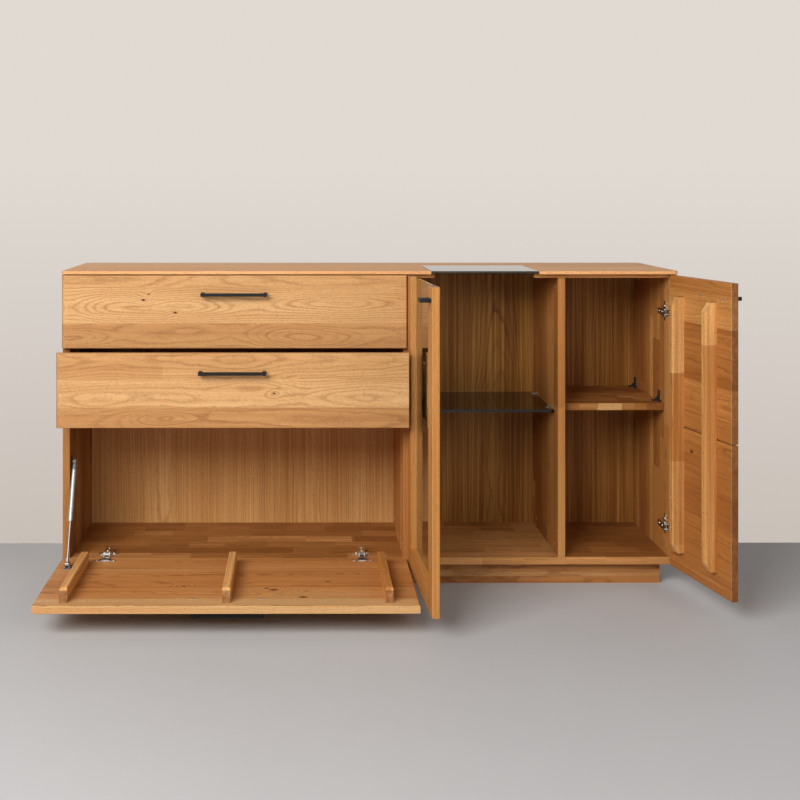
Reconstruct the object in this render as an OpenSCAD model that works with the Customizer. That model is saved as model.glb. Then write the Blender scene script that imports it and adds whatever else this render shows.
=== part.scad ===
// Oak buffet cabinet: two drawers over a drop flap, a glass door and a solid door.
// Millimetres. +Z up, the front faces -Y, the origin is on the floor under the middle of the plinth.

/* [Overall] */
// Width over the side panels
overall_w = 1900; // [1800:10:2100]
// Height from the floor to the top
overall_h = 980; // [940:5:1050]
// Depth of the side panels
carcass_d = 425; // [400:5:500]

/* [Boards] */
// Thickness of the carcass boards
board_t = 22; // [20:1:25]
// Thickness of the boards of the top
top_t = 10; // [9:1:14]
// Thickness of the board under the top
sub_top_t = 12; // [10:1:16]
// Overhang of the top past the carcass front
top_lip = 25; // [24:1:32]
// Thickness of the back panels
back_t = 8; // [6:1:10]
// How far the back panels sit in from the rear edges
back_recess = 17; // [10:1:25]
// Depth of the grooves that hold the back panels
groove_depth = 6; // [4:1:8]

/* [Plinth] */
// Height of the plinth
plinth_h = 70; // [60:5:100]
// How far the plinth stands back from the carcass on every side
plinth_inset = 40; // [25:5:60]
// Thickness of the plinth rails
plinth_t = 22; // [18:1:25]

/* [Fronts] */
// Thickness of the fronts
front_t = 22; // [20:1:24]
// Gap between neighbouring fronts
front_gap = 3; // [2.8:0.2:4]
// Gap between the fronts and the carcass
front_clear = 2; // [1.8:0.2:2.4]
// Step from the carcass underside up to the fronts
front_lift = 2; // [0:1:4]
// Edge radius of the fronts
front_r = 3; // [2.5:0.5:4]
// Radius of the upright edges and corners at both ends of the cabinet
end_r = 15; // [8:1:16]
// Width of the glass door
glass_door_w = 477; // [440:1:520]
// Width of the solid door
solid_door_w = 354; // [340:1:420]
// Height of each drawer front
drawer_front_h = 225; // [210:1:240]

/* [Pose] */
// How far the lower drawer is pulled out
lower_drawer_out = 88; // [0:1:200]
// How far the flap is open
flap_open = 90; // [80:1:90]
// How far the glass door is open
glass_door_open = 87; // [60:1:90]
// How far the solid door is open
solid_door_open = 101; // [60:1:110]

/* [Glass door] */
// Width of the stiles
stile_w = 72; // [66:1:85]
// Height of the bottom rail
rail_h = 70; // [60:1:90]
// Thickness of the pane
pane_t = 4; // [4:1:5]
// Depth of the rebate that holds the pane
pane_rebate = 8; // [6:1:10]

/* [Glass in the top] */
// Thickness of the glass in the top
top_glass_t = 8; // [6:1:8]
// Depth of the wood strip behind the glass
rear_strip_d = 152; // [120:1:200]
// Width of the ledge that the glass rests on
glass_ledge = 12; // [10:1:20]

/* [Shelves] */
// Height of the wood shelf's underside above the floor
wood_shelf_z = 538; // [440:1:640]
// Thickness of the wood shelf
wood_shelf_t = 22; // [18:1:25]
// Height of the glass shelf's underside above the floor
glass_shelf_z = 532; // [440:1:640]
// Thickness of the glass shelf
glass_shelf_t = 8; // [6:1:8]
// How far the shelves stand back from the carcass front
shelf_setback = 68; // [65:1:90]
// Side play of the shelves
shelf_play = 1.5; // [1:0.5:3]

/* [Drawers] */
// Height of the drawer boxes
box_h = 150; // [120:1:160]
// Length of the drawer boxes
box_l = 380; // [330:1:380]
// Wall thickness of the drawer boxes
box_t = 14; // [12:1:16]
// Thickness of the drawer bottoms
box_bottom_t = 8; // [6:1:10]
// Step from a drawer front's lower edge up to its box
box_lift = 22; // [15:1:30]
// Thickness of a runner set
runner_t = 12.7; // [12.7:0.1:13.5]
// Height of a runner set
runner_h = 45; // [42:1:46]

/* [Handles] */
// Hole spacing of the long handles
long_handle_cc = 192; // [128:32:256]
// Hole spacing of the solid door's handle
door_handle_cc = 128; // [96:32:128]
// Hole spacing of the glass door's handle
short_handle_cc = 32; // [25:1:32]
// Distance of the handles below the upper edge of a drawer or flap front
handle_drop = 58; // [50:1:64]
// Distance of the solid door's handle below the upper edge
door_handle_drop = 47; // [40:1:64]
// Distance of the glass door's handle below the upper edge
short_handle_drop = 38; // [30:1:64]
// Distance from the solid door's free edge to the first post
door_handle_edge = 39; // [35:1:60]
// Stand-off of a handle from its front
handle_out = 30; // [26:1:36]
// Thickness of a handle's bar
bar_t = 10; // [8:0.5:10]
// Thickness of a handle's posts
post_t = 11; // [10:0.5:14]

/* [Battens] */
// Thickness of a batten
batten_t = 22; // [18:1:24]
// Height of the flap's battens
flap_batten_h = 41; // [30:1:46]
// Height of the solid door's battens
door_batten_h = 37; // [30:1:44]
// Distance from the flap's ends to the middle of its outer battens
flap_batten_edge = 83; // [76:1:110]
// Distance from the flap's hinge edge to its battens
flap_batten_start = 66; // [60:1:90]
// Distance from the flap's upper edge to its battens
flap_batten_end = 24; // [20:1:60]
// Length of the sloping ends of the flap's battens
flap_slope_l = 9; // [6:1:30]
// Height lost along the sloping ends of the flap's battens
flap_slope_h = 6; // [3:1:20]
// Distance from the solid door's hinge edge to the middle of its first batten
door_batten_near = 77; // [70:1:110]
// Distance from the solid door's free edge to the middle of its second batten
door_batten_far = 89; // [70:1:110]
// Distance from the solid door's ends to its battens
door_batten_end = 61; // [50:1:90]
// Length of the sloping ends of the solid door's battens
door_slope_l = 27; // [10:1:40]
// Height lost along the sloping ends of the solid door's battens
door_slope_h = 18; // [5:1:25]

/* [Hinges] */
// Distance from the flap's ends to its hinges
flap_hinge_edge = 137; // [125:1:200]
// Distance from a door's ends to its hinges
door_hinge_edge = 115; // [100:1:160]
// Distance of the turning axis from the hinge edge and from the face
pivot_inset = 8; // [7.5:0.1:8.5]
// Radius of a hinge cup
cup_r = 17.5; // [17.5:0.1:17.5]
// Depth of a hinge cup
cup_depth = 13.4; // [13:0.1:13.6]
// Distance from the hinge edge to the middle of a cup
cup_edge = 22.5; // [22:0.1:23]

/* [Strut] */
// Distance of the strut's middle from the left side panel
strut_side = 11; // [11:0.5:14]
// Distance of the upper stud behind the carcass front
strut_top_back = 24.5; // [20:0.5:30]
// Height of the upper stud above the floor
strut_top_z = 384; // [370:1:400]
// Distance of the lower stud from the flap's turning axis
strut_reach = 84.5; // [80:0.5:90]
// Height of the lower stud over the flap's inner face
strut_stud_h = 9; // [8.5:0.5:12]
// Length of the strut's cylinder
cylinder_l = 155; // [140:1:160]
// Radius of the strut's cylinder
cylinder_r = 7.8; // [6.5:0.1:8]
// Radius of the strut's rod
rod_r = 3; // [2.5:0.1:3.5]

/* [Hidden] */

round_fn = 32;
cut = 1;

oak = "#c98f4e";
oak_pale = "#d8a463";
oak_dark = "#a9743c";
black = "#1c1b1b";
steel = "#b9bcc0";
smoked = "#2b2a26";
clear = "#9fb0a6";
grey_green = "#7d8678";

// Carcass planes
half_w = overall_w / 2;
front_y = -carcass_d / 2;
rear_y = carcass_d / 2;
under_z = plinth_h;
floor_z = under_z + board_t;
top_z = overall_h;
boards_z = top_z - top_t;
sub_z = boards_z - sub_top_t;
back_y = rear_y - back_recess - back_t;

// Front planes
face_y = front_y - front_clear - front_t;
inner_y = front_y - front_clear;
fronts_z0 = under_z + front_lift;
fronts_z1 = boards_z - front_gap;
wide_w = overall_w - glass_door_w - solid_door_w - 2 * front_gap;
wide_x0 = -half_w;
wide_x1 = wide_x0 + wide_w;
glass_x0 = wide_x1 + front_gap;
glass_x1 = glass_x0 + glass_door_w;
solid_x0 = glass_x1 + front_gap;
solid_x1 = half_w;
upper_z0 = fronts_z1 - drawer_front_h;
lower_z1 = upper_z0 - front_gap;
lower_z0 = lower_z1 - drawer_front_h;
flap_z1 = lower_z0 - front_gap;
flap_h = flap_z1 - fronts_z0;
wide_mid_x = (wide_x0 + wide_x1) / 2;

// Dividers stand behind the gaps between the fronts
left_div_x = (wide_x1 + glass_x0) / 2;
right_div_x = (glass_x1 + solid_x0) / 2;
bay1_x0 = -half_w + board_t;
bay1_x1 = left_div_x - board_t / 2;
bay2_x0 = left_div_x + board_t / 2;
bay2_x1 = right_div_x - board_t / 2;
bay3_x0 = right_div_x + board_t / 2;
bay3_x1 = half_w - board_t;
shelf_z0 = flap_z1 + front_gap / 2 - board_t / 2;
shelf_z1 = shelf_z0 + board_t;

// Glass in the top lines up with the glass of the door
light_x0 = glass_x0 + stile_w;
light_x1 = glass_x1 - stile_w;
light_y1 = rear_y - rear_strip_d;
lip_y = front_y - top_lip;
board_r = 1.5;

// Turning axes, in the frame of each door: x from the hinge edge, y inwards, z along the axis
pivot_y = face_y + pivot_inset;
flap_pivot_z = fronts_z0 + pivot_inset;
glass_pivot_x = glass_x0 + pivot_inset;
solid_pivot_x = solid_x1 - pivot_inset;
door_out = -pivot_inset;
door_in = front_t - pivot_inset;
carcass_v = door_in + front_clear;
flap_mount = floor_z - flap_pivot_z;
glass_mount = bay2_x0 - glass_pivot_x;
solid_mount = solid_pivot_x - bay3_x1;
link_ratio = 0.5;
door_z = [fronts_z0 + door_hinge_edge, fronts_z1 - door_hinge_edge];
flap_hinge_x = [wide_x0 + flap_hinge_edge, wide_x1 - flap_hinge_edge];

// Hinge parts
cup_u = cup_edge - pivot_inset;
cup_wall = 1.4;
cup_floor = 0.9;
flange_t = 1.2;
link_r0 = 16.3;
link_r1 = 17.4;
link_a0 = 7;
link_a1 = 64;
link_w = 13;
bar_r0 = 15;
bar_r1 = link_r0 - 0.5;
prong_in = 7;
prong_out = 9.5;
prong_r = 20;
hook_end = 50;
hook_mid = 30;
tab_in = 10;
tab_out = 12;
arm_v0 = 18;
arm_l = 60;
arm_screw_v = [arm_v0 + 16, arm_v0 + 44];
arm_h = 14;
plate_t = 3;
plate_v = carcass_v + 37;
plate_half = 11;
plate_screw_w = 16;
wing_half = 23;
wing_r = 8;
flange_half = 26;
flange_edge = 0.5;
flange_r = 7;

// Battens
flap_batten_x = [wide_x0 + flap_batten_edge, wide_mid_x, wide_x1 - flap_batten_edge];
flap_batten_u0 = flap_batten_start - pivot_inset;
flap_batten_u1 = flap_h - pivot_inset - flap_batten_end;
solid_batten_u = [door_batten_near - pivot_inset, solid_door_w - pivot_inset - door_batten_far];
batten_z0 = fronts_z0 + door_batten_end;
batten_z1 = fronts_z1 - door_batten_end;
batten_r = 3;
screw_r = 2;
screw_head_r = 4;
screw_sink = 1.5;
screw_head_t = 2.5;
screw_bite = 12;
flap_screws = [for (i = [0:3]) flap_batten_u0 + 40 + i * (flap_batten_u1 - flap_batten_u0 - 80) / 3];
door_screws = [for (i = [0:3], s = [0, 1])
    s == 0 ? batten_z0 + 79 + i * 88 : batten_z1 - 59 - i * 88];

// Handles
handle_screw_r = 2;
handle_head_r = 4.5;
handle_head_t = 1.6;
flap_handle_u = flap_h - pivot_inset - handle_drop;
short_handle_u = glass_door_w - pivot_inset - stile_w / 2;
door_handle_u = solid_door_w - pivot_inset - door_handle_edge - door_handle_cc / 2;
door_handle_z = fronts_z1 - door_handle_drop;
short_handle_z = fronts_z1 - short_handle_drop;

// Drawers
box_x0 = bay1_x0 + runner_t;
box_x1 = bay1_x1 - runner_t;
upper_box_z = upper_z0 + box_lift;
lower_box_z = lower_z0 + box_lift;
bottom_lift = 10;
bottom_bite = 6;
channel_t = 1.2;
member_gap = 0.7;
runner_y0 = front_y + 2;
lower_y = -lower_drawer_out;

// Strut
strut_x = bay1_x0 + strut_side;
strut_top_y = front_y + strut_top_back;
strut_stud_v = door_in + strut_stud_h;
strut_low_y = pivot_y - strut_reach * sin(flap_open) + strut_stud_v * cos(flap_open);
strut_low_z = flap_pivot_z + strut_reach * cos(flap_open) + strut_stud_v * sin(flap_open);
strut_dy = strut_low_y - strut_top_y;
strut_dz = strut_low_z - strut_top_z;
strut_l = sqrt(strut_dy * strut_dy + strut_dz * strut_dz);
strut_angle = atan2(-strut_dy, -strut_dz);
fitting_l = 26;
eye_r = 7;
neck_r = 4.6;
neck_l = 20;
eye_half = 5;
eye_bore_r = 2.8;
stud_r = 2.5;
wall_plate_t = 3;
wall_gap = 0.5;

// Shapes

module block(lo, hi) {
    translate(lo) cube(hi - lo);
}

module rounded_rect(x0, x1, y0, y1, r) {
    translate([x0 + r, y0]) square([x1 - x0 - 2 * r, y1 - y0]);
    translate([x0, y0 + r]) square([x1 - x0, y1 - y0 - 2 * r]);
    for (x = [x0 + r, x1 - r], y = [y0 + r, y1 - r])
        translate([x, y]) circle(r, $fn = round_fn);
}

// What a round corner leaves of the square one: p is the corner and in points into the board
module spandrel(p, in, r) {
    centre = p + r * in;
    outside = p - cut * in;
    difference() {
        translate([min(centre.x, outside.x), min(centre.y, outside.y)]) square(r + cut);
        translate(centre) circle(r, $fn = round_fn);
    }
}

// An upright panel, thin along y, with all its edges rounded. The front edge at lo.x has the radius
// left and the front edge at hi.z has the radius up, where these are given.
module soft_panel(lo, hi, r, left = 0, up = 0) {
    intersection() {
        translate([0, 0, lo.z]) linear_extrude(hi.z - lo.z) difference() {
            rounded_rect(lo.x, hi.x, lo.y, hi.y, r);
            if (left > 0) spandrel([lo.x, lo.y], [1, 1], left);
        }
        translate([lo.x, 0, 0]) rotate([90, 0, 90]) linear_extrude(hi.x - lo.x) difference() {
            rounded_rect(lo.y, hi.y, lo.z, hi.z, r);
            if (up > 0) spandrel([lo.y, hi.z], [1, -1], up);
        }
    }
}

// A lying board, thin along z, with its front edge rounded
module soft_board(lo, hi, r) {
    translate([lo.x, 0, 0]) rotate([90, 0, 90]) linear_extrude(hi.x - lo.x) {
        translate([lo.y + r, lo.z]) square([hi.y - lo.y - r, hi.z - lo.z]);
        translate([lo.y, lo.z + r]) square([2 * r, hi.z - lo.z - 2 * r]);
        for (z = [lo.z + r, hi.z - r]) translate([lo.y + r, z]) circle(r, $fn = round_fn);
    }
}

module rod_x(p, l, r) {
    translate(p) rotate([0, 90, 0]) cylinder(h = l, r = r, $fn = round_fn);
}

module rod_y(p, l, r) {
    translate(p) rotate([-90, 0, 0]) cylinder(h = l, r = r, $fn = round_fn);
}

// Frames of the three doors, closed and as they stand

module flap_frame(turn = 0) {
    translate([0, pivot_y, flap_pivot_z]) rotate([0, -90, 0]) rotate([0, 0, -turn]) children();
}

module glass_frame(turn = 0) {
    translate([glass_pivot_x, pivot_y, 0]) rotate([0, 0, -turn]) children();
}

module solid_frame(turn = 0) {
    translate([solid_pivot_x, pivot_y, 0]) mirror([1, 0, 0]) rotate([0, 0, -turn]) children();
}

// Hinge parts, with the turning axis at the origin

module arc_band(r0, r1, a0, a1, w0, w1) {
    far = 2 * r1;
    mid = (a0 + a1) / 2;
    translate([0, 0, w0]) linear_extrude(w1 - w0) intersection() {
        difference() {
            circle(r1, $fn = round_fn);
            circle(r0, $fn = round_fn);
        }
        polygon([[0, 0], far * [cos(a0), sin(a0)], far * [cos(mid), sin(mid)], far * [cos(a1), sin(a1)]]);
    }
}

module hinge_arm(mount) {
    p1 = link_r0 * [cos(hook_end), sin(hook_end)];
    p2 = prong_r * [cos(hook_mid), sin(hook_mid)];
    arm_u = mount + plate_t;
    for (side = [-1, 1]) {
        w0 = side > 0 ? prong_in : -prong_out;
        w1 = side > 0 ? prong_out : -prong_in;
        arc_band(link_r0, prong_r, link_a0, hook_end, w0, w1);
        translate([0, 0, w0]) linear_extrude(w1 - w0)
            polygon([p1, p2, [arm_u + arm_h, arm_v0 + 2], [arm_u, arm_v0 + 2]]);
    }
    block([arm_u, arm_v0, -prong_out], [arm_u + arm_h, arm_v0 + arm_l, prong_out]);
    // Mounting plate with two wings
    difference() {
        union() {
            block([mount, arm_v0 + 12, -plate_half], [arm_u, arm_v0 + arm_l + 3, plate_half]);
            block([mount, plate_v - wing_r, -wing_half], [arm_u, plate_v + wing_r, wing_half]);
            for (w = [-wing_half, wing_half]) rod_x([mount, plate_v, w], plate_t, wing_r);
        }
        for (w = [-plate_screw_w, plate_screw_w]) rod_x([mount - cut, plate_v, w], plate_t + 2 * cut, 2.5);
    }
    for (w = [-plate_screw_w, plate_screw_w]) rod_x([arm_u, plate_v, w], 2, 4.2);
    // Adjusting screws on the arm
    for (v = arm_screw_v) rod_x([arm_u + arm_h, v, 0], 1.2, 3.4);
}

module hinge_cup() {
    cup_v = door_in - cup_depth;
    difference() {
        rod_y([cup_u, cup_v, 0], cup_depth, cup_r);
        rod_y([cup_u, cup_v + cup_floor, 0], cup_depth, cup_r - cup_wall);
    }
    // Flange on the door's inner face
    difference() {
        intersection() {
            union() {
                rod_y([cup_u, door_in, 0], flange_t, cup_r + 2);
                block([cup_u, door_in, -flange_half],
                      [cup_u + 2 * flange_r, door_in + flange_t, flange_half]);
                for (w = [-flange_half, flange_half])
                    rod_y([cup_u + flange_r, door_in, w], flange_t, flange_r);
            }
            block([flange_edge, door_in, -2 * flange_half],
                  [2 * cup_edge, door_in + flange_t, 2 * flange_half]);
        }
        rod_y([cup_u, door_in - cut, 0], flange_t + 2 * cut, cup_r - cup_wall);
    }
    for (w = [-flange_half, flange_half]) rod_y([cup_u + flange_r, door_in + flange_t, w], 0.6, 3.8);
    // Bearing tabs, from the floor of the cup up to the links
    for (side = [-1, 1]) {
        w0 = side > 0 ? tab_in : -tab_out;
        w1 = side > 0 ? tab_out : -tab_in;
        arc_band(bar_r0, link_r1, 28, link_a1, w0, w1);
        block([10, cup_v + cup_floor, w0], [15, 8.2, w1]);
    }
    // Bearing bar under the link, from tab to tab
    arc_band(bar_r0, bar_r1, 28, link_a1, -tab_out, tab_out);
}

module hinge_link() {
    arc_band(link_r0, link_r1, link_a0, link_a1, -link_w / 2, link_w / 2);
}

module cup_bore(w) {
    rod_y([cup_u, door_in - cup_depth, w], cup_depth + cut, cup_r);
}

// A batten from u0 to u1 of height h, in a door's frame, with its ends sloping by slope
module batten_side(u0, u1, h, slope) {
    top = door_in + h;
    polygon([
        [u0, door_in], [u1, door_in], [u1, top - slope.y], [u1 - slope.x, top],
        [u0 + slope.x, top], [u0, top - slope.y]
    ]);
}

module batten_end(w0, w1, h) {
    r = batten_r;
    translate([door_in, w0]) square([h - r, w1 - w0]);
    translate([door_in, w0 + r]) square([h, w1 - w0 - 2 * r]);
    for (w = [w0 + r, w1 - r]) translate([door_in + h - r, w]) circle(r, $fn = round_fn);
}

// A batten along x, standing on the door's inner face, centred on z = w
module batten(u0, u1, w, h, slope) {
    intersection() {
        translate([0, 0, w - batten_t / 2]) linear_extrude(batten_t) batten_side(u0, u1, h, slope);
        translate([u0 - cut, 0, 0]) rotate([90, 0, 90])
            linear_extrude(u1 - u0 + 2 * cut) batten_end(w - batten_t / 2, w + batten_t / 2, h);
    }
}

module batten_screw(u, w, h) {
    head_v = door_in + h - screw_sink - screw_head_t;
    rod_y([u, head_v, w], screw_head_t, screw_head_r);
    rod_y([u, door_in - screw_bite, w], head_v - door_in + screw_bite, screw_r);
}

module batten_screw_hole(u, w, h) {
    rod_y([u, door_in + h - screw_sink - screw_head_t, w], h, screw_head_r);
    rod_y([u, door_in - screw_bite, w], h + screw_bite, screw_r);
}

// A door batten runs along z: the same shape, laid over
module upright(u) {
    translate([u, 0, 0]) rotate([0, -90, 0]) children();
}

// Handles: the bar runs along x, the face is at y = 0 and the handle stands towards -y
module handle_bar(cc) {
    out_y = -handle_out;
    translate([-cc / 2, 0, 0]) rotate([90, 0, 90]) linear_extrude(cc)
        rounded_rect(out_y, out_y + bar_t, -bar_t / 2, bar_t / 2, 2);
    for (x = [-cc / 2, cc / 2])
        translate([x, 0, 0]) rotate([90, 0, 0]) linear_extrude(handle_out)
            rounded_rect(-post_t / 2, post_t / 2, -post_t / 2, post_t / 2, 2);
}

module handle_screws(cc, depth) {
    for (x = [-cc / 2, cc / 2]) {
        rod_y([x, depth, 0], handle_head_t, handle_head_r);
        rod_y([x, 0, 0], depth, handle_screw_r);
    }
}

module handle_holes(cc, depth) {
    for (x = [-cc / 2, cc / 2]) rod_y([x, -cut, 0], depth + 2 * cut, handle_screw_r);
}

module handle(cc) {
    color(black) handle_bar(cc);
    color(steel) handle_screws(cc, front_t);
}

// Carcass

module back_grooves() {
    block([-half_w + board_t - groove_depth, back_y, under_z - cut],
          [half_w - board_t + groove_depth, back_y + back_t, sub_z + cut]);
}

module side(outer, inner) {
    difference() {
        block([min(outer, inner), front_y, under_z], [max(outer, inner), rear_y, sub_z]);
        back_grooves();
    }
}

module left_side() color(oak_pale) side(-half_w, bay1_x0);

module right_side() color(oak_pale) side(half_w, bay3_x1);

module divider(x) {
    difference() {
        block([x - board_t / 2, front_y, floor_z], [x + board_t / 2, back_y, sub_z]);
        children();
    }
}

module left_divider() color(oak) divider(left_div_x);

module right_divider() {
    notch_z = 185;
    notch_h = 55;
    notch_d = 26;
    color(oak) divider(right_div_x)
        block([right_div_x - board_t, back_y - notch_d, notch_z],
              [right_div_x + board_t, back_y + cut, notch_z + notch_h]);
}

module bottom_board() {
    color(oak_pale) block([bay1_x0, front_y, under_z], [bay3_x1, back_y, floor_z]);
}

module drawer_shelf() {
    color(oak) block([bay1_x0, front_y, shelf_z0], [bay1_x1, back_y, shelf_z1]);
}

module sub_top() {
    color(oak) difference() {
        block([-half_w, front_y, sub_z], [half_w, rear_y, boards_z]);
        block([light_x0 + glass_ledge, front_y - cut, sub_z - cut],
              [light_x1 - glass_ledge, light_y1 - glass_ledge, boards_z + cut]);
    }
}

module top_corner(side) {
    translate([0, 0, boards_z - cut]) linear_extrude(top_t + 2 * cut)
        spandrel([side * half_w, lip_y], [-side, 1], end_r);
}

module top_board_left() {
    color(oak_pale) difference() {
        soft_board([-half_w, lip_y, boards_z], [light_x0, rear_y, top_z], board_r);
        top_corner(-1);
    }
}

module top_board_right() {
    color(oak_pale) difference() {
        soft_board([light_x1, lip_y, boards_z], [half_w, rear_y, top_z], board_r);
        top_corner(1);
    }
}

module top_rear_strip() {
    color(oak_pale) block([light_x0, light_y1, boards_z], [light_x1, rear_y, top_z]);
}

module top_glass() {
    play = 1;
    color(clear) soft_board([light_x0 + play, lip_y, top_z - top_glass_t],
                            [light_x1 - play, light_y1 - play, top_z], 0.8);
}

module top_glass_pads() {
    pad_r = 4;
    color(black) for (x = [light_x0 + glass_ledge / 2, light_x1 - glass_ledge / 2],
                      y = [front_y + 20, light_y1 - 2 * glass_ledge])
        translate([x, y, boards_z]) cylinder(h = top_t - top_glass_t, r = pad_r, $fn = round_fn);
}

module back_panel(x0, x1) {
    color(oak_dark) block([x0, back_y, under_z], [x1, back_y + back_t, sub_z]);
}

module back_panel_left() back_panel(bay1_x0 - groove_depth, left_div_x);

module back_panel_middle() back_panel(left_div_x, right_div_x);

module back_panel_right() back_panel(right_div_x, bay3_x1 + groove_depth);

module plinth_rails() {
    color(oak) for (side = [-1, 1]) {
        outer = side * (carcass_d / 2 - plinth_inset);
        inner = outer - side * plinth_t;
        block([-half_w + plinth_inset, min(outer, inner), 0],
              [half_w - plinth_inset, max(outer, inner), plinth_h]);
    }
}

module plinth_cross_rails() {
    y = carcass_d / 2 - plinth_inset - plinth_t;
    end_x = half_w - plinth_inset - plinth_t / 2;
    color(oak) for (x = [-end_x, 0, end_x])
        block([x - plinth_t / 2, -y, 0], [x + plinth_t / 2, y, plinth_h]);
}

// Shelves

shelf_y0 = front_y + shelf_setback - 16;
shelf_y1 = back_y - 2;
clamp_front = 55;
clamp_rear = 38;
clip_front = 50;
clip_rear = 20;
clamp_y = [shelf_y0 + clamp_front, shelf_y1 - clamp_rear];
clip_y = [shelf_y0 + clip_front, shelf_y1 - clip_rear];

module glass_shelf() {
    color(smoked) block([bay2_x0 + shelf_play, shelf_y0, glass_shelf_z],
                        [bay2_x1 - shelf_play, shelf_y1, glass_shelf_z + glass_shelf_t]);
}

module glass_shelf_clamps() {
    jaw = 4;
    reach = 14;
    half = 7;
    color(steel) for (side = [0, 1], y = clamp_y) {
        x = side == 0 ? bay2_x0 : bay2_x1;
        s = side == 0 ? 1 : -1;
        difference() {
            block([min(x, x + s * reach), y - half, glass_shelf_z - jaw],
                  [max(x, x + s * reach), y + half, glass_shelf_z + glass_shelf_t + jaw]);
            block([bay2_x0 + shelf_play, y - half - cut, glass_shelf_z],
                  [bay2_x1 - shelf_play, y + half + cut, glass_shelf_z + glass_shelf_t]);
        }
    }
}

module wood_shelf() {
    color(oak) soft_board([bay3_x0 + shelf_play, shelf_y0, wood_shelf_z],
                          [bay3_x1 - shelf_play, shelf_y1, wood_shelf_z + wood_shelf_t], board_r);
}

// Each clip is a foot under the shelf, a web in the play beside it and an angle on top
module wood_shelf_clips() {
    leg = 24;
    half = 6;
    rise = 33;
    plate = 4;
    top = wood_shelf_z + wood_shelf_t;
    color(black) for (side = [0, 1], y = clip_y) {
        x = side == 0 ? bay3_x0 : bay3_x1;
        s = side == 0 ? 1 : -1;
        translate([x, y, 0]) mirror([side, 0, 0]) {
            block([0, -half, top], [plate, half, top + rise]);
            block([0, -half, top], [leg, half, top + plate]);
            block([0, -leg, top], [plate + 4, half, top + plate]);
            block([0, -half, wood_shelf_z - plate], [shelf_play - 0.3, half, top + 1]);
            block([0, -half, wood_shelf_z - plate], [leg / 2, half, wood_shelf_z]);
            translate([0, plate / 2, 0]) rotate([90, 0, 0]) linear_extrude(plate)
                polygon([[plate, top + plate], [plate + 12, top + plate], [plate, top + plate + 14]]);
        }
    }
}

module connector_caps() {
    cap_r = 4;
    cap_t = 0.6;
    cap_front = 45;
    cap_rear = 60;
    cap_end = 30;
    cap_y = [front_y + cap_front, back_y - cap_rear];
    cap_z = [floor_z + cap_end, sub_z - cap_end];
    color(steel) for (y = cap_y, z = cap_z) {
        rod_x([bay2_x1 - cap_t, y, z], cap_t, cap_r);
        rod_x([bay3_x1 - cap_t, y, z], cap_t, cap_r);
        rod_x([bay1_x1 - cap_t, y, z], cap_t, cap_r);
    }
}

// Runners: channel on the carcass, middle member and drawer rail, nested

module channel(x, toward, depth, half, y0, y1) {
    x1 = x + toward * depth;
    web = x + toward * channel_t;
    block([min(x, web), y0, -half], [max(x, web), y1, half]);
    for (z = [-half, half - channel_t])
        block([min(x, x1), y0, z], [max(x, x1), y1, z + channel_t]);
}

middle_half = runner_h / 2 - channel_t - member_gap;
inner_half = middle_half - channel_t - member_gap;
runner_l = box_l - 10;

module runner_channels() {
    color(steel) for (z = [upper_box_z + box_h / 2, lower_box_z + box_h / 2]) translate([0, 0, z]) {
        channel(bay1_x0, 1, 9.5, runner_h / 2, runner_y0, runner_y0 + runner_l);
        channel(bay1_x1, -1, 9.5, runner_h / 2, runner_y0, runner_y0 + runner_l);
    }
}

module runner_middles(z, out) {
    color(steel) translate([0, out / 2, z]) {
        channel(bay1_x0 + 2, 1, 8.4, middle_half, runner_y0, runner_y0 + runner_l);
        channel(bay1_x1 - 2, -1, 8.4, middle_half, runner_y0, runner_y0 + runner_l);
    }
}

module drawer_rails(z, out) {
    color(steel) translate([0, out, z]) {
        channel(box_x0, -1, 7, inner_half, runner_y0, runner_y0 + runner_l);
        channel(box_x1, 1, 7, inner_half, runner_y0, runner_y0 + runner_l);
    }
}

module upper_runner_middles() runner_middles(upper_box_z + box_h / 2, 0);

module lower_runner_middles() runner_middles(lower_box_z + box_h / 2, lower_y);

module upper_drawer_rails() drawer_rails(upper_box_z + box_h / 2, 0);

module lower_drawer_rails() drawer_rails(lower_box_z + box_h / 2, lower_y);

// Drawers

module drawer_front(z0) {
    color(oak_pale) difference() {
        soft_panel([wide_x0, face_y, z0], [wide_x1, inner_y, z0 + drawer_front_h], front_r, left = end_r);
        translate([wide_mid_x, face_y, z0 + drawer_front_h - handle_drop])
            handle_holes(long_handle_cc, front_t);
    }
}

module drawer_handle(z0) {
    translate([wide_mid_x, face_y, z0 + drawer_front_h - handle_drop]) handle(long_handle_cc);
}

module drawer_box(z0) {
    rear = inner_y + box_l;
    bottom_z = z0 + bottom_lift;
    color(oak) difference() {
        union() {
            block([box_x0, inner_y, z0], [box_x0 + box_t, rear, z0 + box_h]);
            block([box_x1 - box_t, inner_y, z0], [box_x1, rear, z0 + box_h]);
            block([box_x0 + box_t, rear - box_t, bottom_z + box_bottom_t],
                  [box_x1 - box_t, rear, z0 + box_h]);
        }
        block([box_x0 + box_t - bottom_bite, inner_y - cut, bottom_z],
              [box_x1 - box_t + bottom_bite, rear + cut, bottom_z + box_bottom_t]);
        // The screws of the handle keep a pocket in front of the box open
        block([box_x0 + box_t, inner_y - cut, z0], [box_x1 - box_t, inner_y + cut, z0 + box_h]);
    }
}

module drawer_bottom(z0) {
    bottom_z = z0 + bottom_lift;
    color(oak_dark) block([box_x0 + box_t - bottom_bite, inner_y, bottom_z],
                          [box_x1 - box_t + bottom_bite, inner_y + box_l, bottom_z + box_bottom_t]);
}

module upper_drawer_front() drawer_front(upper_z0);

module upper_drawer_box() drawer_box(upper_box_z);

module upper_drawer_bottom() drawer_bottom(upper_box_z);

module upper_drawer_handle() drawer_handle(upper_z0);

module lower_drawer_front() translate([0, lower_y, 0]) drawer_front(lower_z0);

module lower_drawer_box() translate([0, lower_y, 0]) drawer_box(lower_box_z);

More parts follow.
